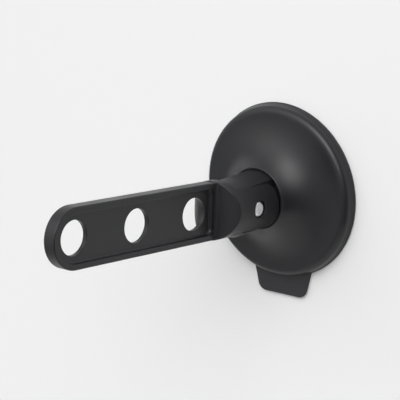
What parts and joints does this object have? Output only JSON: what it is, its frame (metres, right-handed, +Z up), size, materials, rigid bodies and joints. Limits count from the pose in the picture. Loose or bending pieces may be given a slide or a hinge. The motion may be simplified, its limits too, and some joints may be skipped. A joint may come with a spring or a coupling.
{
  "type": "suction cup hook",
  "caption": "Suction cup wall hook: soft disc under a domed cover, with a flat hinged arm pierced by round hanging holes that folds down on a cross pin.",
  "frame": {"origin": "centre of the suction disc's wall face, on the plane that touches the wall", "axes": "+Z up, +Y into the wall, +X to the right for someone who faces the wall; the arm stands out along -Y"},
  "size_m": [0.0856, 0.157, 0.0955],
  "materials": {
    "soft_disc": "soft dark grey moulding, satin",
    "cover": "dark grey moulding, fine satin",
    "post": "dark grey moulding, fine satin",
    "arm": "dark grey moulding, fine satin",
    "pin": "turned steel end"
  },
  "bodies": {
    "base": {"suction_disc": "soft_disc", "dome_cover": "cover", "post": "post", "pivot_pin": "pin"},
    "arm": {"lever_arm": "arm"}
  },
  "joints": [
    {"name": "arm_fold", "type": "hinge", "parent": "base", "child": "arm", "pos_m": [0, -0.0347, 0], "axis": [1, 0, 0], "range_deg": [0, 95.9]}
  ]
}
